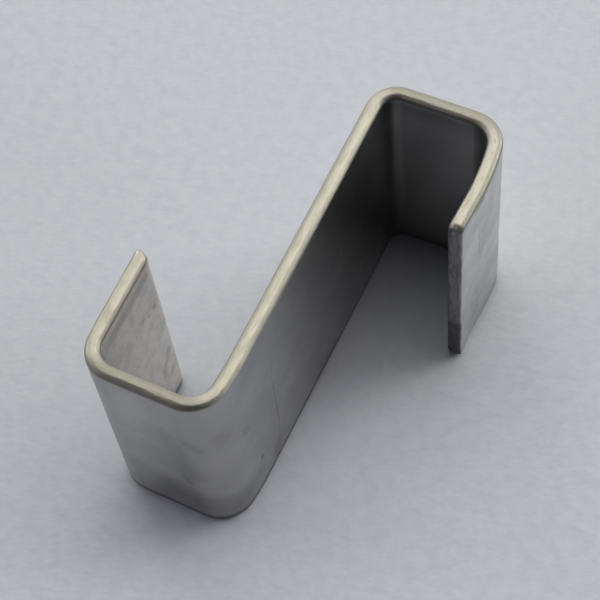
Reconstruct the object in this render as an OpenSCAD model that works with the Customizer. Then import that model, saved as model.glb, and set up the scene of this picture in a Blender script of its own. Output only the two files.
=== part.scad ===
// Greenhouse glazing clip: one stainless strip folded into an S of two square hooks.
// Each hook grips the edge of a pane, and the web between them bridges the overlap of the two panes.
// The strip stands on its long lower edge, so its width runs along Z.

/* [Strip] */
// Width of the strip, which is the height of the standing clip
strip_w = 10; // [6:0.5:16]
// Thickness of the strip
strip_t = 0.6; // [0.45:0.05:0.9]
// Rounding of the strip's four long edges
edge_r = 0.17; // [0.05:0.01:0.2]
// Rounding of the corners at both ends of the strip, seen square on to its face
corner_r = 0.3; // [0.1:0.05:1.5]
// Rounding of the cut at both ends, seen from above
cut_r = 0.15; // [0.05:0.01:0.2]

/* [Web] */
// Straight length of the web between the two hooks
web_run = 11.25; // [8:0.25:20]
// Gentle turn of the web's foot, where it leans into the first hook
foot_turn = 6.5; // [1:0.5:9]
// Radius of that gentle turn
foot_r = 12; // [8:1:20]

/* [First hook] */
// Turn of the bend between the web and the first base
bend_1_turn = 84.5; // [80:0.5:90]
// Inside radius of that bend
bend_1_r = 0.85; // [0.4:0.05:1.2]
// Straight length of the first base, which sets the room for the pane
base_1_run = 2.65; // [2:0.05:5]
// Turn of the bend between the first base and its lip
bend_2_turn = 88; // [80:0.5:92]
// Inside radius of that bend
bend_2_r = 0.75; // [0.4:0.05:1.2]
// Straight length of the first lip
lip_1_run = 3.6; // [2:0.1:8]

/* [Second hook] */
// Turn of the bend between the web and the second base
bend_3_turn = 89.5; // [85:0.5:92]
// Inside radius of that bend
bend_3_r = 0.6; // [0.4:0.05:1.2]
// Straight length of the second base, which sets the room for the pane
base_2_run = 2.75; // [2:0.05:5]
// Turn of the bend between the second base and its lip, which stops short of square
bend_4_turn = 80.5; // [75:0.5:90]
// Inside radius of that bend
bend_4_r = 0.85; // [0.4:0.05:1.2]
// Turn of the bowed stretch that brings the second lip back towards the pane
bow_turn = 13; // [4:0.5:18]
// Radius of the bowed stretch
bow_r = 9.5; // [6:0.5:14]
// Straight length of the second lip after the bowed stretch
lip_2_run = 1.6; // [1:0.1:4]

/* [Hidden] */

// Sides of a full circle on the bends, and on the small edge roundings
bend_sides = 180;
edge_sides = 32;
// How far a trimming shape reaches past the metal
spare = 1;

// One step along the strip's middle line is [length, turn, radius]
function run(length) = [length, 0, 0];
function bend(turn, inside_r) = [0, turn, inside_r + strip_t / 2];
function sweep(turn, radius) = [0, turn, radius];

// The whole strip, from the first lip's tip to the second's; a left turn is positive
steps = [
    run(lip_1_run),
    bend(bend_2_turn, bend_2_r),
    run(base_1_run),
    bend(bend_1_turn, bend_1_r),
    sweep(foot_turn, foot_r),
    run(web_run),
    bend(-bend_3_turn, bend_3_r),
    run(base_2_run),
    bend(-bend_4_turn, bend_4_r),
    sweep(-bow_turn, bow_r),
    run(lip_2_run)
];
last = len(steps) - 1;
first_heading = 90 - bend_2_turn - bend_1_turn - foot_turn;

// The place reached by going a share of one step from the place p
function along(p, s, share = 1) =
    let (
        heading = p.z + share * s[1],
        ahead = share * s[0],
        side = sign(s[1]) * s[2]
    )
    [
        p.x + ahead * cos(p.z) + side * (sin(heading) - sin(p.z)),
        p.y + ahead * sin(p.z) - side * (cos(heading) - cos(p.z)),
        heading
    ];

// The place [x, y, heading] where each step starts
places = [
    for (i = 0, p = [0, 0, first_heading]; i <= last; p = along(p, steps[i]), i = i + 1) p
];

// Both faces of the strip along its whole length, sampled
face_points = [
    for (i = [0 : last], share = [0 : 0.05 : 1], side = [-1, 1])
        let (p = along(places[i], steps[i], share))
        [p.x - side * strip_t / 2 * sin(p.z), p.y + side * strip_t / 2 * cos(p.z)]
];

// The middle of the clip as seen from above, which becomes the origin
seen_x = [for (p = face_points) p.x];
seen_y = [for (p = face_points) p.y];
middle = [min(seen_x) + max(seen_x), min(seen_y) + max(seen_y)] / 2;

// A quarter of a disc, in the corner between the X and Y axes
module quarter_disc(r) {
    intersection() {
        circle(r, $fn = edge_sides);
        square(r);
    }
}

// A rectangle with four rounded corners, standing on the X axis
module rounded_rectangle(width, height, r) {
    translate([-width / 2, r]) square([width, height - 2 * r]);
    translate([-width / 2 + r, 0]) square([width - 2 * r, height]);
    for (left = [0, 1]) {
        mirror([left, 0]) translate([width / 2 - r, 0]) {
            translate([0, height - r]) quarter_disc(r);
            translate([0, r]) mirror([0, 1]) quarter_disc(r);
        }
    }
}

// The strip's own section, square to its length
module section() {
    rounded_rectangle(strip_t, strip_w, edge_r);
}

// A straight stretch that runs along +X from the origin
module straight_stretch(length) {
    rotate([90, 0, 90]) linear_extrude(length) section();
}

// A stretch bent to the left or right, which leaves the origin along +X
module bent_stretch(turn, radius) {
    side = sign(turn);
    start = side > 0 ? -90 : 90 + turn;
    translate([0, side * radius, 0]) rotate(start)
        rotate_extrude(angle = abs(turn), $fn = bend_sides)
            translate([radius, 0]) section();
}

// A straight stretch with a free end, whose corners and cut are rounded
module lip_stretch(length) {
    intersection() {
        straight_stretch(length);
        translate([0, strip_t / 2 + spare, 0]) rotate([90, 0, 0])
            linear_extrude(strip_t + 2 * spare)
                rounded_rectangle(2 * length, strip_w, corner_r);
        translate([0, -strip_t / 2, -spare])
            linear_extrude(strip_w + 2 * spare)
                rounded_rectangle(2 * length, strip_t, cut_r);
    }
}

// Puts what follows at a place, heading the way of the strip or turned back
module at_place(p, turned = 0) {
    translate([p.x - middle.x, p.y - middle.y, 0]) rotate(p.z + turned) children();
}

module clip() {
    color("#b8b6ac") union() {
        at_place(places[1], 180) lip_stretch(lip_1_run);
        for (i = [1 : last - 1]) {
            at_place(places[i]) {
                if (steps[i][1] == 0) straight_stretch(steps[i][0]);
                else bent_stretch(steps[i][1], steps[i][2]);
            }
        }
        at_place(places[last]) lip_stretch(lip_2_run);
    }
}

clip();
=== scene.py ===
import math

import bmesh
import bpy
import numpy as np
from mathutils import Matrix, Vector


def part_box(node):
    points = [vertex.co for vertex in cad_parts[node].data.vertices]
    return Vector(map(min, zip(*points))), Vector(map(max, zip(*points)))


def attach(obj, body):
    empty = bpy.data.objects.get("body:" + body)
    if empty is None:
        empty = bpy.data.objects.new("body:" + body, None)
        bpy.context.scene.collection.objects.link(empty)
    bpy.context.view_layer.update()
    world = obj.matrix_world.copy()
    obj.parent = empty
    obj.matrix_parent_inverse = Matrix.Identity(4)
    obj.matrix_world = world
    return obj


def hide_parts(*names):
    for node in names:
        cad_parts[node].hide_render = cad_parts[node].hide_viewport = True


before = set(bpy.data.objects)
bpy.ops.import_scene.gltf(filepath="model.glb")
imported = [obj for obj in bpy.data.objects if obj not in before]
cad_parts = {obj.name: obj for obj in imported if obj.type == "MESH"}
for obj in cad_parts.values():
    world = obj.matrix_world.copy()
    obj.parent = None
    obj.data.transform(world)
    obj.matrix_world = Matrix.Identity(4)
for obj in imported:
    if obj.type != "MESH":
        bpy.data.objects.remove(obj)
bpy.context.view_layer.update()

mm = 0.001  # sizes below are in millimetres, the scene is in metres


# Small helpers for node trees

def addNode(tree, kind, inputs=None, **settings):
    node = tree.nodes.new(kind)
    for name, value in settings.items():
        setattr(node, name, value)
    for name, value in (inputs or {}).items():
        if isinstance(value, bpy.types.NodeSocket):
            tree.links.new(value, node.inputs[name])
        else:
            node.inputs[name].default_value = value
    return node


def mathNode(tree, operation, first, second=0.0):
    return addNode(tree, "ShaderNodeMath", {0: first, 1: second}, operation=operation).outputs[0]


def vectorNode(tree, operation, first, second=(0, 0, 0), output="Vector"):
    node = addNode(tree, "ShaderNodeVectorMath", {0: first, 1: second}, operation=operation)
    return node.outputs[output]


def mixColour(tree, factor, first, second):
    # 0, 6 and 7 are the factor and the two colours of a colour mix
    node = addNode(tree, "ShaderNodeMix", data_type="RGBA")
    for place, value in ((0, factor), (6, first), (7, second)):
        if isinstance(value, bpy.types.NodeSocket):
            tree.links.new(value, node.inputs[place])
        else:
            node.inputs[place].default_value = value
    return node.outputs[2]


def mixValue(tree, factor, first, second):
    return addNode(tree, "ShaderNodeMix", {0: factor, 2: first, 3: second}, data_type="FLOAT").outputs[0]


def ramp(tree, value, low, high, start=0.0, end=1.0):
    # goes smoothly from start to end as the value goes from low to high
    node = addNode(tree, "ShaderNodeMapRange", {"Value": value, "From Min": low, "From Max": high,
                                                "To Min": start, "To Max": end},
                   interpolation_type="SMOOTHSTEP")
    return node.outputs["Result"]


def newGroup(name, inputs, output):
    # a node group with named sockets; each input is name: (socket type, default)
    group = bpy.data.node_groups.new(name, "ShaderNodeTree")
    for socketName, (kind, value) in inputs.items():
        socket = group.interface.new_socket(socketName, in_out="INPUT", socket_type=kind)
        if value is not None:
            socket.default_value = value
    group.interface.new_socket(output, in_out="OUTPUT", socket_type="NodeSocketFloat")
    return group, group.nodes.new("NodeGroupInput").outputs, group.nodes.new("NodeGroupOutput").inputs


def placeGroup(tree, group, **inputs):
    node = addNode(tree, "ShaderNodeGroup", node_tree=group)
    for name, value in inputs.items():
        if isinstance(value, bpy.types.NodeSocket):
            tree.links.new(value, node.inputs[name])
        else:
            node.inputs[name].default_value = value
    return node.outputs[0]


# Effects that the steel and the floor share

def buildClouds():
    # a soft blotchy mask: noise, stretched between Low and High
    group, given, made = newGroup("clouds", {"Point": ("NodeSocketVector", None),
                                             "Scale": ("NodeSocketFloat", 1.0),
                                             "Detail": ("NodeSocketFloat", 3.0),
                                             "Low": ("NodeSocketFloat", 0.35),
                                             "High": ("NodeSocketFloat", 0.65)}, "Mask")
    blotch = addNode(group, "ShaderNodeTexNoise", {"Vector": given["Point"], "Scale": given["Scale"],
                                                   "Detail": given["Detail"]}).outputs[0]
    group.links.new(ramp(group, blotch, given["Low"], given["High"]), made["Mask"])
    return group


def buildSpecks():
    # small dots: only cells whose random number is under Share hold one, of about Size across
    group, given, made = newGroup("specks", {"Point": ("NodeSocketVector", None),
                                             "Scale": ("NodeSocketFloat", 1.0),
                                             "Size": ("NodeSocketFloat", 0.1),
                                             "Share": ("NodeSocketFloat", 0.3)}, "Mask")
    cells = addNode(group, "ShaderNodeTexVoronoi", {"Vector": given["Point"], "Scale": given["Scale"]})
    dot = ramp(group, cells.outputs["Distance"], given["Size"], 0.0)
    number = addNode(group, "ShaderNodeSeparateColor", {"Color": cells.outputs["Color"]}).outputs[0]
    chosen = mathNode(group, "LESS_THAN", number, given["Share"])
    group.links.new(mathNode(group, "MULTIPLY", dot, chosen), made["Mask"])
    return group


def buildMark():
    # a line from Start to End: 1 on the line, falling to 0 at Width from it
    group, given, made = newGroup("mark", {"Point": ("NodeSocketVector", None),
                                           "Start": ("NodeSocketVector", None),
                                           "End": ("NodeSocketVector", None),
                                           "Width": ("NodeSocketFloat", 0.1),
                                           "Strength": ("NodeSocketFloat", 0.5)}, "Mask")
    fromStart = vectorNode(group, "SUBTRACT", given["Point"], given["Start"])
    line = vectorNode(group, "SUBTRACT", given["End"], given["Start"])
    reach = vectorNode(group, "DOT_PRODUCT", fromStart, line, "Value")
    length = mathNode(group, "MAXIMUM", vectorNode(group, "DOT_PRODUCT", line, line, "Value"), 1e-4)
    share = addNode(group, "ShaderNodeClamp", {"Value": mathNode(group, "DIVIDE", reach, length)}).outputs[0]
    nearest = addNode(group, "ShaderNodeVectorMath", {0: line, "Scale": share}, operation="SCALE").outputs[0]
    away = vectorNode(group, "LENGTH", vectorNode(group, "SUBTRACT", fromStart, nearest), output="Value")
    mask = ramp(group, away, given["Width"], mathNode(group, "MULTIPLY", given["Width"], 0.2))
    group.links.new(mathNode(group, "MULTIPLY", mask, given["Strength"]), made["Mask"])
    return group


# The strip's path, seen from above, from the first lip's tip to the second's. Bends are their turn in
# degrees and inside radius, the gentle sweeps are turn and middle radius. Left and right are the strip's
# own sides on the way along it.

clipStrip = {
    "width": 10.0,
    "thickness": 0.598,      # a hair under the solid's 0.6, so that the skin stays inside its box
    "lip1": 3.6,
    "bend2": (88.0, 0.75),
    "base1": 2.65,
    "bend1": (84.5, 0.85),
    "foot": (6.5, 12.0),
    "web": 11.25,
    "bend3": (89.5, 0.6),
    "base2": 2.75,
    "bend4": (80.5, 0.85),
    "bow": (13.0, 9.5),
    "lip2": 1.6,
    "leftRound": 0.19,       # rounding of the long edges on the strip's left
    "rightRound": 0.21,      # and on its right
    "baseRound": 0.03,       # more rounding on the right over both bases
    "roundWander": 0.14,     # share by which the roundings vary along the strip
    "crown": 0.035,          # how far the cut edges fall away at their sides
    "faceWave": 0.012,       # gentle unevenness of the faces
    "cornerRound": 0.3,      # corners at both ends, seen square on
    "tip1": (0.28, 0.07),    # rounding of the first tip's cut on the left and right, seen from above
    "tip2": (0.12, 0.14),
    "tip1Skew": 0.24,        # how far the first tip's right side reaches past its left
    "torn": (0.09, 3.3),     # depth and height of the rough break low on the second tip
    "lean": 0.16,            # how far the second lip leans in at its foot
    "bendLimit": 5.0,        # a turn of a larger radius counts as a gentle sweep
    "bendEase": 0.5,         # distance over which the finish changes at a bend's borders
    "rowGap": 0.11,          # between rows on the straights
    "bendRowGap": 0.05,      # between rows in the bends
    "tipRows": 14,
    "roundCuts": 7,          # faces over a quarter of an edge rounding
    "heightCuts": 64,        # faces up each side
    "thicknessCuts": 6,      # faces across each edge
}


def clipSteps(strip):
    # the path's steps as (length, turn in degrees, middle radius), with a left turn positive
    half = strip["thickness"] / 2

    def bend(name, side):
        turn, insideRadius = strip[name]
        return (0.0, side * turn, insideRadius + half)

    footTurn, footRadius = strip["foot"]
    bowTurn, bowRadius = strip["bow"]
    return [(strip["lip1"], 0, 0), bend("bend2", 1), (strip["base1"], 0, 0), bend("bend1", 1),
            (0.0, footTurn, footRadius), (strip["web"], 0, 0), bend("bend3", -1),
            (strip["base2"], 0, 0), bend("bend4", -1), (0.0, -bowTurn, bowRadius),
            (strip["lip2"], 0, 0)]


def bending(strip, along):
    # 1 in the four bends and 0 elsewhere, passing from one to the other over the easing distance
    start, share = 0.0, np.zeros(len(along))
    for length, turn, radius in clipSteps(strip):
        size = length if length else abs(math.radians(turn)) * radius
        if turn and radius < strip["bendLimit"]:
            ease = strip["bendEase"]
            share += smooth(along, start - ease, start + ease) - smooth(along, start + size - ease, start + size + ease)
        start += size
    return share


def tipDistances(strip):
    # distances from a tip: radius times one minus the cosine of evenly spaced angles
    angles = np.linspace(0, math.pi / 2, strip["tipRows"])
    return strip["cornerRound"] * (1 - np.cos(angles))


def stripRows(strip):
    # Rows along the middle line, as columns: distance along, x, y, heading, number of the step.
    # On a straight, a place is the start plus the distance along the heading. On a bend of radius R it is
    # the start plus R times the change in (sine, minus cosine) of the heading, to the bend's side.
    steps = clipSteps(strip)
    firstHeading = 90 - strip["bend2"][0] - strip["bend1"][0] - strip["foot"][0]
    place, heading, along = np.zeros(2), math.radians(firstHeading), 0.0
    tip = tipDistances(strip)
    clear = strip["cornerRound"] + strip["rowGap"] / 3
    rows = []
    for number, (length, turn, radius) in enumerate(steps):
        turn = math.radians(turn)
        size = length if length else abs(turn) * radius
        gap = strip["bendRowGap"] if turn and radius < strip["bendLimit"] else strip["rowGap"]
        at = np.linspace(0, size, math.ceil(size / gap) + 1)
        if number == 0:
            at = np.concatenate([tip, at[at > clear]])
        if number == len(steps) - 1:
            at = np.concatenate([at[at < size - clear], size - tip[::-1]])
        newHeading = heading + turn * at / size
        if length:
            spots = place + np.outer(at, (math.cos(heading), math.sin(heading)))
        else:
            side = math.copysign(radius, turn)
            spots = place + side * np.stack([np.sin(newHeading) - math.sin(heading),
                                             math.cos(heading) - np.cos(newHeading)], 1)
        block = np.column_stack([along + at, spots, newHeading, np.full(len(at), number)])
        rows.append(block if number == 0 else block[1:])
        place, heading, along = spots[-1], newHeading[-1], along + size
    return np.concatenate(rows)


def sectionOutline(strip):
    # The section's outline, anticlockwise, as columns: which side (1 left, -1 right, between on the
    # edges), which edge (1 top, -1 bottom, between on the faces), then the normal sideways and up
    cuts, high, wide = strip["roundCuts"], strip["heightCuts"], strip["thicknessCuts"]
    even = np.linspace(-1, 1, high + 1)
    up = 0.6 * even + 0.4 * np.sin(even * math.pi / 2)
    across = np.linspace(1, -1, wide + 1)
    runs = (up, across, up[::-1], across[::-1])
    parts = []
    for quarter, (side, edge) in enumerate(((1, -1), (1, 1), (-1, 1), (-1, -1))):
        angles = (quarter - 1) * math.pi / 2 + np.linspace(0, math.pi / 2, cuts + 1)
        corner = np.ones(cuts + 1)
        parts.append(np.stack([side * corner, edge * corner, np.cos(angles), np.sin(angles)], 1))
        run = runs[quarter][1:-1]
        still = np.ones(len(run))
        if quarter in (0, 2):
            parts.append(np.stack([side * still, run, side * still, 0 * run], 1))
        else:
            parts.append(np.stack([run, edge * still, 0 * run, edge * still], 1))
    return np.concatenate(parts)


def cutBack(radius, fromTip):
    # what a quarter circle of this radius takes off a side, at a distance from the tip
    inside = np.clip(radius - fromTip, 0, radius)
    return radius - np.sqrt(radius ** 2 - inside ** 2)


def smooth(value, low, high):
    share = np.clip((value - low) / (high - low), 0, 1)
    return share * share * (3 - 2 * share)


def wander(along, pitch, start):
    # a slow unevenness between about -1 and 1: three sines whose pitches share no common multiple
    return (np.sin(along * pitch + start) + 0.7 * np.sin(along * pitch * 2.37 + start * 1.7)
            + 0.5 * np.sin(along * pitch * 4.91 + start * 2.9)) / 2.2


def edgeRounds(strip, along, step):
    # radius of the left and right roundings in each row; the right one swells over the two bases
    left = strip["leftRound"] * (1 + strip["roundWander"] * wander(along, 0.9, 1.0))
    right = strip["rightRound"] * (1 + strip["roundWander"] * wander(along, 0.7, 4.0))
    for number in (2, 7):
        inBase = along[step == number]
        middle, reach = (inBase[0] + inBase[-1]) / 2, inBase[-1] - inBase[0]
        right = right + strip["baseRound"] * np.exp(-((along - middle) / reach * 1.4) ** 2)
    return left, right


def buildClip(strip):
    # The strip's skin: each point of the section's outline is carried along the path, sideways along the
    # row's left-hand normal and up by its height. Near both tips the section's sides are cut back by
    # quarter circles, and each end is closed by drawing the outline in to its middle line.
    rows = stripRows(strip)
    along, spots, heading, step = rows[:, 0], rows[:, 1:3], rows[:, 3], rows[:, 4]
    total = along[-1]
    side, edge, normalSide, normalUp = sectionOutline(strip).T
    half, halfWidth = strip["thickness"] / 2, strip["width"] / 2
    leftCut = cutBack(strip["tip1"][0], along) + cutBack(strip["tip2"][0], total - along)
    rightCut = cutBack(strip["tip1"][1], along) + cutBack(strip["tip2"][1], total - along)
    leftSide, rightSide = half - leftCut, half - rightCut
    halfHigh = halfWidth - cutBack(strip["cornerRound"], np.minimum(along, total - along))
    leftRound, rightRound = edgeRounds(strip, along, step)
    fit = np.minimum(1, (leftSide + rightSide) * 0.9 / (leftRound + rightRound))
    leftRound, rightRound = leftRound * fit, rightRound * fit

    # between the two roundings, a point's place and radius go evenly from the left's to the right's
    toLeft = (1 + side) / 2
    radius = np.outer(leftRound, toLeft) + np.outer(rightRound, 1 - toLeft)
    lateral = (np.outer(leftSide - leftRound, toLeft) - np.outer(rightSide - rightRound, 1 - toLeft)
               + normalSide * radius)
    height = halfWidth + edge * (halfHigh[:, None] - radius) + normalUp * radius
    height = height - strip["crown"] * normalUp * np.abs(normalUp) * (lateral / half) ** 2

    def capped(values, shrink=False):
        # three more rows at both ends, drawn in to the middle line if asked
        first, last = [values[:1]] * 3, [values[-1:]] * 3
        if shrink:
            inward = np.array([2 / 3, 1 / 3, 0.0])[:, None]
            firstMiddle = (values[0].max() + values[0].min()) / 2
            lastMiddle = (values[-1].max() + values[-1].min()) / 2
            first = [firstMiddle + (values[:1] - firstMiddle) * inward[::-1]]
            last = [lastMiddle + (values[-1:] - lastMiddle) * inward]
        return np.concatenate(first + [values] + last)

    lateral, height = capped(lateral, shrink=True), capped(height)
    along, spots, heading, step = capped(along), capped(spots), capped(heading), capped(step)
    fromEnd = (total - along)[:, None]

    # the first tip's cut is skewed, the second's is torn near its foot
    skew = strip["tip1Skew"] * (0.5 - lateral / strip["thickness"]) * smooth(-along, -1.2, 0)[:, None]
    tornDepth, tornHeight = strip["torn"]
    ragged = 0.55 + 0.45 * wander(height + 1.3 * lateral, 4.1, 2.0) * np.cos(lateral * 9 + height)
    torn = tornDepth * ragged * (1 - smooth(height, tornHeight - 0.7, tornHeight)) * smooth(-fromEnd, -0.35, 0)
    burr = 0.012 * wander(height, 6.3, 0.5) * smooth(-fromEnd, -0.3, 0)
    ahead = burr - skew - torn

    # the second lip leans in towards its foot, and the faces are slightly uneven, always inwards
    lip2Start = along[step == 9][0]
    lip2Share = np.clip((along - lip2Start) / (total - lip2Start), 0, 1)[:, None]
    lean = strip["lean"] * np.sin(lip2Share * math.pi * 0.92) * (1 - height / strip["width"])
    inward = np.tanh((total / 2 - along) / 2)[:, None]
    uneven = 0.5 + 0.5 * np.sin(1.3 * along[:, None] + 0.6 * height + 1) * np.sin(0.9 * height - 0.5 * along[:, None])
    sideways = lateral - lean + strip["faceWave"] * inward * uneven

    turnSine, turnCosine = np.sin(heading)[:, None], np.cos(heading)[:, None]
    x = spots[:, :1] - turnSine * sideways + turnCosine * ahead
    y = spots[:, 1:] + turnCosine * sideways + turnSine * ahead
    plainX = spots[:, :1] - turnSine * lateral
    plainY = spots[:, 1:] + turnCosine * lateral
    low, high = (Vector(corner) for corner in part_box("clip"))
    x += (low.x + high.x) / 2 / mm - (plainX.min() + plainX.max()) / 2
    y += (low.y + high.y) / 2 / mm - (plainY.min() + plainY.max()) / 2
    grid = np.stack([x, y, height], -1)

    count, columns = grid.shape[:2]
    row, column = np.meshgrid(np.arange(count - 1), np.arange(columns), indexing="ij")
    after = (column + 1) % columns
    faces = np.stack([row * columns + column, (row + 1) * columns + column,
                      (row + 1) * columns + after, row * columns + after], -1).reshape(-1, 4)
    mesh = bpy.data.meshes.new("clip_strip")
    mesh.from_pydata((grid.reshape(-1, 3) * mm).tolist(), [], faces.tolist())
    onEnd = np.maximum(smooth(-along, -0.12, -0.02), smooth(-fromEnd[:, 0], -0.12, -0.02))
    values = {
        "alongMm": along[:, None],
        "heightMm": height,
        "lateralMm": lateral,
        "bending": bending(strip, along)[:, None],
        "edgeTurn": np.abs(normalUp)[None, :],     # 0 on the faces, 1 on the top and bottom edges
        "onEnd": onEnd[:, None],                   # 1 on the two cut ends
        "onBase": np.abs(np.cos(heading))[:, None],   # 1 on the two bases, 0 on the lips and the web
    }
    for name, value in values.items():
        spread = np.broadcast_to(value, x.shape).astype(np.float32).ravel()
        mesh.attributes.new(name, "FLOAT", "POINT").data.foreach_set("value", spread)
    mesh.polygons.foreach_set("use_smooth", np.ones(len(faces), bool))
    weld(mesh)
    piece = bpy.data.objects.new("clip_strip", mesh)
    bpy.context.collection.objects.link(piece)
    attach(piece, "root")
    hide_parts("clip")
    return piece


def weld(mesh):
    work = bmesh.new()
    work.from_mesh(mesh)
    bmesh.ops.remove_doubles(work, verts=work.verts, dist=1e-8)
    bmesh.ops.recalc_face_normals(work, faces=work.faces)
    work.to_mesh(mesh)
    work.free()
    mesh.update()


# The steel: dull rolled faces, brighter cut edges, dark torn ends, the marks of use, and painted shade in corners, on
# the bases' edges and along the lower edge

steel = {
    "right": (0.456, 0.446, 0.438, 1),         # the strip's right face, duller than its left
    "rightDull": (0.385, 0.378, 0.374, 1),
    "left": (0.62, 0.62, 0.607, 1),  
    "leftDull": (0.50, 0.505, 0.50, 1),
    "firstLip": (0.80, 0.748, 0.70, 1),        # warm inside of the first lip
    "rolled": (0.36, 0.36, 0.36, 1),          # fine lines along the strip
    "bend": (0.365, 0.348, 0.342, 1),          # stretched metal in the bends
    "round": (0.31, 0.287, 0.25, 1),          # where the faces turn into the edges: grime, and painted shade that dims their reflections
    "cut": (0.448, 0.425, 0.36, 1),            # smooth part of the long cut edges
    "cutDull": (0.376, 0.352, 0.296, 1),
    "baseCutShade": (0.30, 0.285, 0.245, 1),        # painted shade: the cut edges over the bases, which catch a dimmer part of the lights
    "torn": (0.30, 0.285, 0.25, 1),           # torn part of the cut, on the left
    "rim": (0.09, 0.08, 0.07, 1),             # darker roundings, on the lips and past the web
    "end": (0.27, 0.255, 0.265, 1),
    "endDark": (0.13, 0.125, 0.135, 1),
    "foot": (0.07, 0.07, 0.078, 1),           # painted contact shade along the lower edge
    "dark": (0.10, 0.10, 0.11, 1),
    "brown": (0.20, 0.155, 0.11, 1),
    "faceRough": 0.30,
    "bendRough": 0.42,
    "cutRough": 0.42,
    "roundRough": 0.55,
    "endRough": 0.6,
    "sideSpread": 3.0,      # how far apart the patterns on the two faces lie
    "wobble": 0.05,         # how far the marks stray from a straight line
}

# Marks as (along, height) at start and end, side (1 left, -1 right), width, strength. Some dark ones are painted shade:
# in the third bend's inside corner, low on the first base and low on the second lip
darkMarksAndShade = {
    # painted shade in the inside corner of the third bend
    "bend3CornerShade": ((22.97, -1.0), (22.97, 11.0), -1, 0.8, 0.52),
    "bend2Corner": ((4.4, 9.6), (4.3, 8.9), 1, 0.6, 0.6),
    "hairlineTop": ((12.35, 8.2), (12.14, 5.6), -1, 0.05, 0.25),
    "hairline": ((12.14, 5.6), (12.14, 2.4), -1, 0.065, 0.5),
    "hairlineFoot": ((12.14, 2.4), (11.85, 1.1), -1, 0.06, 0.35),
    "webSpeck1": ((11.14, 7.04), (11.16, 7.1), -1, 0.11, 0.5),
    "webSpeck2": ((10.63, 2.2), (10.63, 2.32), -1, 0.13, 0.75),
    "webSpeck3": ((10.16, 4.54), (10.2, 4.5), -1, 0.09, 0.35),
    "webSpeck4": ((13.76, 3.24), (13.8, 3.3), -1, 0.12, 0.3),
    "baseSmear": ((7.24, 6.91), (7.83, 4.07), -1, 0.75, 0.22),
    # painted shade low on the first base's outer wall, darker towards the floor
    "baseLowShade": ((6.9, 2.0), (9.2, 1.2), -1, 1.3, 0.35),
    "lip1Speck1": ((0.96, 7.04), (0.98, 7.1), 1, 0.1, 0.4),
    "lip1Speck2": ((1.30, 7.37), (1.4, 7.3), 1, 0.14, 0.3),
    "lip1Speck3": ((0.54, 7.14), (0.6, 7.2), 1, 0.15, 0.25),
    "lip2Shade": ((28.5, 1.0), (31.7, 1.0), 1, 3.5, 0.14),
    "lip2Line": ((30.14, 7.8), (30.06, 5.7), 1, 0.06, 0.35),
    "lip2LineLow": ((30.06, 5.7), (30.05, 1.6), 1, 0.05, 0.3),
    "lip2Streak1": ((30.15, 4.5), (31.1, 4.1), 1, 0.08, 0.4),
    "lip2Streak2": ((29.9, 3.2), (30.8, 3.3), 1, 0.1, 0.25),
    "lip2Spot1": ((30.15, 1.48), (30.2, 1.4), 1, 0.13, 0.5),
    "lip2Spot2": ((31.32, 3.18), (31.3, 3.0), 1, 0.16, 0.4),
    "lip2Spot3": ((30.49, 2.03), (30.55, 2.1), 1, 0.12, 0.35),
    "baseSmear2": ((7.9, 7.1), (8.2, 6.6), -1, 0.4, 0.25),
    "baseSmear3": ((7.2, 7.5), (7.5, 7.2), -1, 0.35, 0.2),
    "baseSpot": ((7.5, 3.6), (7.65, 3.3), -1, 0.3, 0.35),
    "webSmear": ((10.3, 1.5), (10.5, 1.3), -1, 0.4, 0.25),
    "lip1Speck4": ((0.5, 7.15), (0.5, 7.0), 1, 0.16, 0.45),
    "lip1Shade1": ((1.0, 2.9), (1.05, 2.3), 1, 0.3, 0.25),
    "lip1Shade2": ((0.5, 2.0), (0.6, 1.8), 1, 0.3, 0.25),
    "lip2Spot4": ((30.1, 3.1), (30.15, 2.9), 1, 0.2, 0.4),
    "lip2Spot5": ((30.45, 2.6), (30.5, 2.5), 1, 0.22, 0.45),
    "lip2Spot6": ((29.9, 1.6), (29.95, 1.4), 1, 0.2, 0.4),
    "edgeSpot1": ((27.73, 10.0), (27.76, 10.0), 0, 0.12, 0.4),
    "edgeSpot2": ((28.24, 10.0), (28.3, 10.0), 0, 0.1, 0.35),
}
brownMarks = {
    "webStain": ((11.8, 1.2), (11.65, 0.6), -1, 0.5, 0.45),
    "bendStain1": ((8.99, 7.29), (9.1, 7.0), -1, 0.5, 0.2),
    "bendStain2": ((10.0, 5.9), (10.1, 5.6), -1, 0.35, 0.3),
    "lip1Stain": ((0.5, 3.4), (0.7, 3.0), 1, 0.35, 0.3),
    "lip1RimStain": ((3.2, 9.3), (0.6, 9.3), 1, 0.4, 0.35),
    "lip2Stain": ((30.5, 9.66), (29.95, 9.7), 1, 0.16, 0.75),
}


def attribute(tree, name):
    return addNode(tree, "ShaderNodeAttribute", attribute_name=name).outputs["Fac"]


def newMaterial(name):
    material = bpy.data.materials.new(name)
    material.use_nodes = True
    return material, material.node_tree, material.node_tree.nodes["Principled BSDF"]


def markMask(tree, group, point, marks, look):
    # the strongest of all marks at each point
    mask = None
    for start, end, side, width, strength in marks.values():
        across = side * clipStrip["thickness"] / 2 * look["sideSpread"]
        one = placeGroup(tree, group, Point=point, Start=(*start, across), End=(*end, across),
                         Width=width, Strength=strength)
        mask = one if mask is None else mathNode(tree, "MAXIMUM", mask, one)
    return mask


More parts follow.
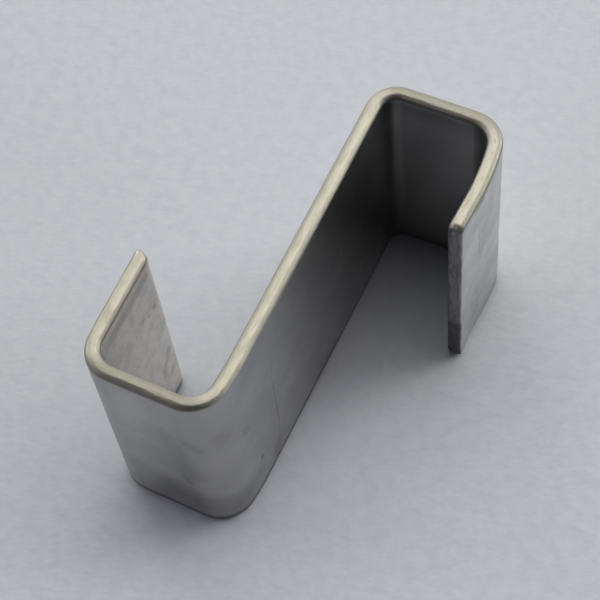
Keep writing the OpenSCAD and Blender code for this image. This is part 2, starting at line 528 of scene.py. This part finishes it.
def steelMaterial(look, clouds, specks, mark):
    material, tree, shader = newMaterial("stainless_strip")
    along, height = attribute(tree, "alongMm"), attribute(tree, "heightMm")
    lateral, edgeTurn, onEnd = attribute(tree, "lateralMm"), attribute(tree, "edgeTurn"), attribute(tree, "onEnd")
    spread = mathNode(tree, "MULTIPLY", lateral, look["sideSpread"])
    point = addNode(tree, "ShaderNodeCombineXYZ", {"X": along, "Y": height, "Z": spread}).outputs[0]
    rollingPoint = vectorNode(tree, "MULTIPLY", point, (0.16, 6.0, 6.0))
    shakyNoise = addNode(tree, "ShaderNodeTexNoise", {"Vector": point, "Scale": 1.6, "Detail": 2.0})
    shake = vectorNode(tree, "SUBTRACT", shakyNoise.outputs["Color"], (0.5, 0.5, 0.5))
    shaken = addNode(tree, "ShaderNodeVectorMath", {0: shake, "Scale": look["wobble"] * 4}, operation="SCALE").outputs[0]
    markPoint = vectorNode(tree, "ADD", point, shaken)

    # where each finish, and each patch of painted shade, lies
    edgeZone = ramp(tree, edgeTurn, 0.02, 0.5)
    flatZone = ramp(tree, edgeTurn, 0.75, 0.99)
    tornFrom = mathNode(tree, "ADD", lateral, ramp(tree, along, 4.0, 8.0, -0.06, 0.0))
    tornZone = mathNode(tree, "MULTIPLY", edgeZone, ramp(tree, tornFrom, 0.07, 0.19))
    tornShare = mathNode(tree, "MULTIPLY", tornZone, ramp(tree, along, 12.0, 20.0, 0.6, 0.9))
    # painted contact shade along the lower edge, strong up to the middle of the web and faint past it
    footShadeZone = mathNode(tree, "MULTIPLY", ramp(tree, height, 0.55, 0.15), ramp(tree, along, 14.0, 20.0, 0.85, 0.1))
    bendZone = attribute(tree, "bending")
    onLeft = ramp(tree, lateral, 0.0, 0.25)
    onRight = mathNode(tree, "SUBTRACT", 1.0, onLeft)
    rimZone = mathNode(tree, "MULTIPLY", edgeZone, ramp(tree, edgeTurn, 0.88, 0.5))
    onLips = mathNode(tree, "MAXIMUM", ramp(tree, along, 6.0, 4.6), ramp(tree, along, 25.0, 27.0))
    pastWeb = mathNode(tree, "MAXIMUM", ramp(tree, along, 10.0, 13.0, 0.0, 0.55), ramp(tree, along, 15.0, 22.0))
    rimDarkening = mathNode(tree, "MAXIMUM", mathNode(tree, "MULTIPLY", onLeft, onLips),
                        mathNode(tree, "MULTIPLY", onRight, pastWeb))
    hookShade = mathNode(tree, "MULTIPLY", mathNode(tree, "MULTIPLY", onRight, ramp(tree, along, 20.0, 23.0)),
                         mathNode(tree, "MULTIPLY", ramp(tree, height, 8.4, 9.8), ramp(tree, edgeTurn, 0.8, 0.4)))
    firstLip = mathNode(tree, "MULTIPLY", ramp(tree, along, 4.4, 3.2), onLeft)
    blotches = placeGroup(tree, clouds, Point=point, Scale=0.45, Detail=4.0, Low=0.38, High=0.66)
    smallBlotches = placeGroup(tree, clouds, Point=point, Scale=1.7, Detail=3.0, Low=0.4, High=0.7)
    rolling = placeGroup(tree, clouds, Point=rollingPoint, Scale=1.0, Detail=4.0, Low=0.42, High=0.75)
    pits = placeGroup(tree, specks, Point=point, Scale=1.1, Size=0.09, Share=0.35)
    grit = placeGroup(tree, clouds, Point=point, Scale=7.0, Detail=2.0, Low=0.4, High=0.68)
    edgeWear = placeGroup(tree, clouds, Point=point, Scale=1.3, Detail=3.0, Low=0.42, High=0.68)

    # colour, from the faces out to the edges, ends, painted shade and marks
    rightFace = mixColour(tree, blotches, look["right"], look["rightDull"])
    leftFace = mixColour(tree, blotches, look["left"], look["leftDull"])
    colour = mixColour(tree, onLeft, rightFace, leftFace)
    colour = mixColour(tree, firstLip, colour, look["firstLip"])
    colour = mixColour(tree, mathNode(tree, "MULTIPLY", rolling, 0.12), colour, look["rolled"])
    colour = mixColour(tree, mathNode(tree, "MULTIPLY", smallBlotches, 0.32), colour, look["rolled"])
    colour = mixColour(tree, mathNode(tree, "MULTIPLY", grit, 0.14), colour, look["rolled"])
    colour = mixColour(tree, mathNode(tree, "MULTIPLY", bendZone, 0.3), colour, look["bend"])
    # the roundings darkened: partly grime, partly painted shade that dims their reflections
    colour = mixColour(tree, mathNode(tree, "MULTIPLY", edgeZone, 0.85), colour, look["round"])
    cutColour = mixColour(tree, edgeWear, look["cut"], look["cutDull"])
    # painted shade on the cut edges over the bases, darker as they catch a dimmer part of the lights
    cutColour = mixColour(tree, ramp(tree, attribute(tree, "onBase"), 0.5, 1.0), cutColour, look["baseCutShade"])
    colour = mixColour(tree, flatZone, colour, cutColour)
    colour = mixColour(tree, tornShare, colour, look["torn"])
    colour = mixColour(tree, mathNode(tree, "MULTIPLY", mathNode(tree, "MULTIPLY", rimZone, rimDarkening), 0.6),
                       colour, look["rim"])
    colour = mixColour(tree, mathNode(tree, "MULTIPLY", hookShade, 0.45), colour, look["dark"])
    endPatches = placeGroup(tree, clouds, Point=vectorNode(tree, "MULTIPLY", point, (1, 0.6, 2.0)),
                            Scale=2.2, Detail=4.0, Low=0.45, High=0.62)
    lowEnd = mathNode(tree, "MAXIMUM", mathNode(tree, "MULTIPLY", endPatches, 0.6), ramp(tree, height, 3.3, 2.6))
    colour = mixColour(tree, onEnd, colour, mixColour(tree, lowEnd, look["end"], look["endDark"]))
    # painted shade: the lower edge darkened where it meets the floor
    colour = mixColour(tree, footShadeZone, colour, look["foot"])
    colour = mixColour(tree, mathNode(tree, "MULTIPLY", pits, 0.35), colour, look["dark"])
    colour = mixColour(tree, markMask(tree, mark, markPoint, brownMarks, look), colour, look["brown"])
    # dark marks, together with painted shade in the third bend's corner and low on the first base and second lip
    colour = mixColour(tree, markMask(tree, mark, markPoint, darkMarksAndShade, look), colour, look["dark"])
    tree.links.new(colour, shader.inputs["Base Color"])

    rough = mixValue(tree, blotches, look["faceRough"], look["faceRough"] + 0.06)
    rough = mixValue(tree, bendZone, rough, look["bendRough"])
    rough = mixValue(tree, edgeZone, rough, look["roundRough"])
    rough = mixValue(tree, flatZone, rough, look["cutRough"])
    rough = mixValue(tree, tornZone, rough, look["roundRough"])
    rough = mixValue(tree, mathNode(tree, "MAXIMUM", onEnd, footShadeZone), rough, look["endRough"])
    tree.links.new(rough, shader.inputs["Roughness"])
    shader.inputs["Metallic"].default_value = 1.0

    # bump, with its height in millimetres
    grain = addNode(tree, "ShaderNodeTexNoise", {"Vector": vectorNode(tree, "MULTIPLY", point, (0.5, 9.0, 9.0)),
                                                 "Scale": 1.0, "Detail": 3.0}).outputs[0]
    ripple = addNode(tree, "ShaderNodeTexNoise", {"Vector": point, "Scale": 2.6, "Detail": 4.0}).outputs[0]
    relief = mathNode(tree, "MULTIPLY", grain, 0.0006)
    relief = mathNode(tree, "ADD", relief, mathNode(tree, "MULTIPLY", mathNode(tree, "MULTIPLY", ripple, edgeZone), 0.02))
    relief = mathNode(tree, "ADD", relief, mathNode(tree, "MULTIPLY", mathNode(tree, "MULTIPLY", ripple, onEnd), 0.05))
    relief = mathNode(tree, "SUBTRACT", relief, mathNode(tree, "MULTIPLY", pits, 0.004))
    bump = addNode(tree, "ShaderNodeBump", {"Strength": 1.0, "Distance": mm, "Height": relief})
    tree.links.new(bump.outputs[0], shader.inputs["Normal"])
    return material


# Floor, lights and camera

studio = {
    "floorColour": (0.592, 0.616, 0.674, 1),
    "floorShade": (0.556, 0.581, 0.642, 1),
    "floorNearLit": (0.665, 0.700, 0.785, 1),    # painted light: the floor paler towards the camera
    "floorNearLitShade": (0.622, 0.656, 0.744, 1),
    "floorLitFrom": (-3.0, 9.0),             # distances over which the painted light comes in
    "floorSize": 0.6,
    "floorDrop": 0.00001,
    "backdrop": (0.50, 0.53, 0.57, 1),
    "lightDistance": 0.3,
    "softboxes": {          # name: azimuth, elevation, size in metres, power in watts, colour
        "backHigh": (213, 62, 0.28, 0.285, (0.97, 1.0, 0.93)),
        "rightHigh": (153, 62, 0.28, 0.223, (1.0, 0.94, 0.95)),
        "rightMiddle": (138, 35, 0.2, 0.080, (0.95, 1.0, 0.69)),
        "leftMiddle": (273, 35, 0.2, 0.110, (1.0, 0.93, 0.89)),
        "frontMiddle": (318, 35, 0.2, 0.069, (0.87, 0.84, 1.0)),
        "sideLow": (93, 12, 0.2, 0.116, (0.93, 0.89, 1.0)),
        "rightLow": (138, 12, 0.2, 0.588, (1.0, 1.0, 0.98)),
        "backLow": (183, 12, 0.2, 0.201, (1.0, 0.99, 0.88)),
        "leftLow": (228, 12, 0.2, 0.370, (0.99, 1.0, 0.93)),
        "farLeftLow": (273, 12, 0.2, 0.168, (1.0, 0.98, 0.95)),
    },
}

camera = {
    "aim": (-1.941, 2.480, 0.0),   # where the lens points, on the floor
    "distance": 73.766,
    "azimuth": 33.065,
    "elevation": 61.209,
    "roll": -8.775,
    "lens": 108.0,
    "sensor": 36.0,
}


def buildFloor(look, clouds, specks):
    half, drop = look["floorSize"] / 2, look["floorDrop"]
    mesh = bpy.data.meshes.new("floor")
    mesh.from_pydata([(-half, -half, -drop), (half, -half, -drop), (half, half, -drop), (-half, half, -drop)],
                     [], [(0, 1, 2, 3)])
    floor = bpy.data.objects.new("floor", mesh)
    bpy.context.collection.objects.link(floor)
    material, tree, shader = newMaterial("floor_board")
    place = addNode(tree, "ShaderNodeTexCoord").outputs["Object"]
    point = vectorNode(tree, "MULTIPLY", place, (1 / mm, 1 / mm, 1 / mm))
    patches = placeGroup(tree, clouds, Point=point, Scale=1.8, Detail=5.0, Low=0.35, High=0.7)
    grains = placeGroup(tree, specks, Point=point, Scale=1.4, Size=0.35, Share=0.3)
    shade = mathNode(tree, "MAXIMUM", patches, mathNode(tree, "MULTIPLY", grains, 0.7))
    laid = addNode(tree, "ShaderNodeVectorRotate", {"Vector": point, "Angle": -math.radians(camera["azimuth"])},
                   rotation_type="Z_AXIS").outputs[0]
    nearness = vectorNode(tree, "DOT_PRODUCT", laid, (0, -1, 0), "Value")
    far = mixColour(tree, shade, look["floorColour"], look["floorShade"])
    near = mixColour(tree, shade, look["floorNearLit"], look["floorNearLitShade"])
    # painted light: the floor brightens towards the camera
    board = mixColour(tree, ramp(tree, nearness, *look["floorLitFrom"]), far, near)
    tree.links.new(board, shader.inputs["Base Color"])
    fibrePoint = vectorNode(tree, "MULTIPLY", laid, (0.9, 1.6, 1.0))
    fibre = addNode(tree, "ShaderNodeTexNoise", {"Vector": fibrePoint, "Scale": 2.8, "Detail": 6.0}).outputs[0]
    bump = addNode(tree, "ShaderNodeBump", {"Strength": 1.0, "Distance": mm,
                                            "Height": mathNode(tree, "MULTIPLY", fibre, 0.011)})
    tree.links.new(bump.outputs[0], shader.inputs["Normal"])
    shader.inputs["Roughness"].default_value = 0.9
    shader.inputs["Specular IOR Level"].default_value = 0.1
    mesh.materials.append(material)


def outwards(azimuth, elevation):
    a, e = math.radians(azimuth), math.radians(elevation)
    return Vector((math.sin(a) * math.cos(e), -math.cos(a) * math.cos(e), math.sin(e)))


def softLight(name, azimuth, elevation, distance, size, power, colour):
    data = bpy.data.lights.new(name, "AREA")
    data.shape, data.size, data.energy, data.color = "DISK", size, power, colour
    light = bpy.data.objects.new(name, data)
    light.location = outwards(azimuth, elevation) * distance
    light.rotation_euler = light.location.to_track_quat("Z", "Y").to_euler()
    light.visible_camera = False
    bpy.context.collection.objects.link(light)


def buildCamera(look):
    back = outwards(look["azimuth"], look["elevation"])
    data = bpy.data.cameras.new("camera")
    data.lens, data.sensor_width, data.sensor_height = look["lens"], look["sensor"], look["sensor"]
    data.clip_start, data.clip_end = 0.002, 5.0
    view = bpy.data.objects.new("camera", data)
    turn = back.to_track_quat("Z", "Y").to_matrix() @ Matrix.Rotation(math.radians(look["roll"]), 3, "Z")
    place = (Vector(look["aim"]) + back * look["distance"]) * mm
    view.matrix_world = Matrix.Translation(place) @ turn.to_4x4()
    bpy.context.collection.objects.link(view)
    bpy.context.scene.camera = view


def buildBackdrop(look):
    # a pale backdrop past the floor's edge, which gives no light
    world = bpy.data.worlds.new("room")
    world.use_nodes = True
    tree = world.node_tree
    seen = addNode(tree, "ShaderNodeLightPath").outputs["Is Camera Ray"]
    tree.nodes["Background"].inputs["Color"].default_value = look["backdrop"]
    tree.links.new(seen, tree.nodes["Background"].inputs["Strength"])
    bpy.context.scene.world = world


cloudGroup, speckGroup, markGroup = buildClouds(), buildSpecks(), buildMark()
clip = buildClip(clipStrip)
clip.data.materials.append(steelMaterial(steel, cloudGroup, speckGroup, markGroup))
print("clip:", len(clip.data.polygons), "faces")

buildFloor(studio, cloudGroup, speckGroup)
for name, (azimuth, elevation, size, power, colour) in studio["softboxes"].items():
    softLight(name, azimuth, elevation, studio["lightDistance"], size, power, colour)
buildBackdrop(studio)
buildCamera(camera)
bpy.context.scene.view_settings.view_transform = "Standard"
print("studio:", len(studio["softboxes"]), "soft lights")
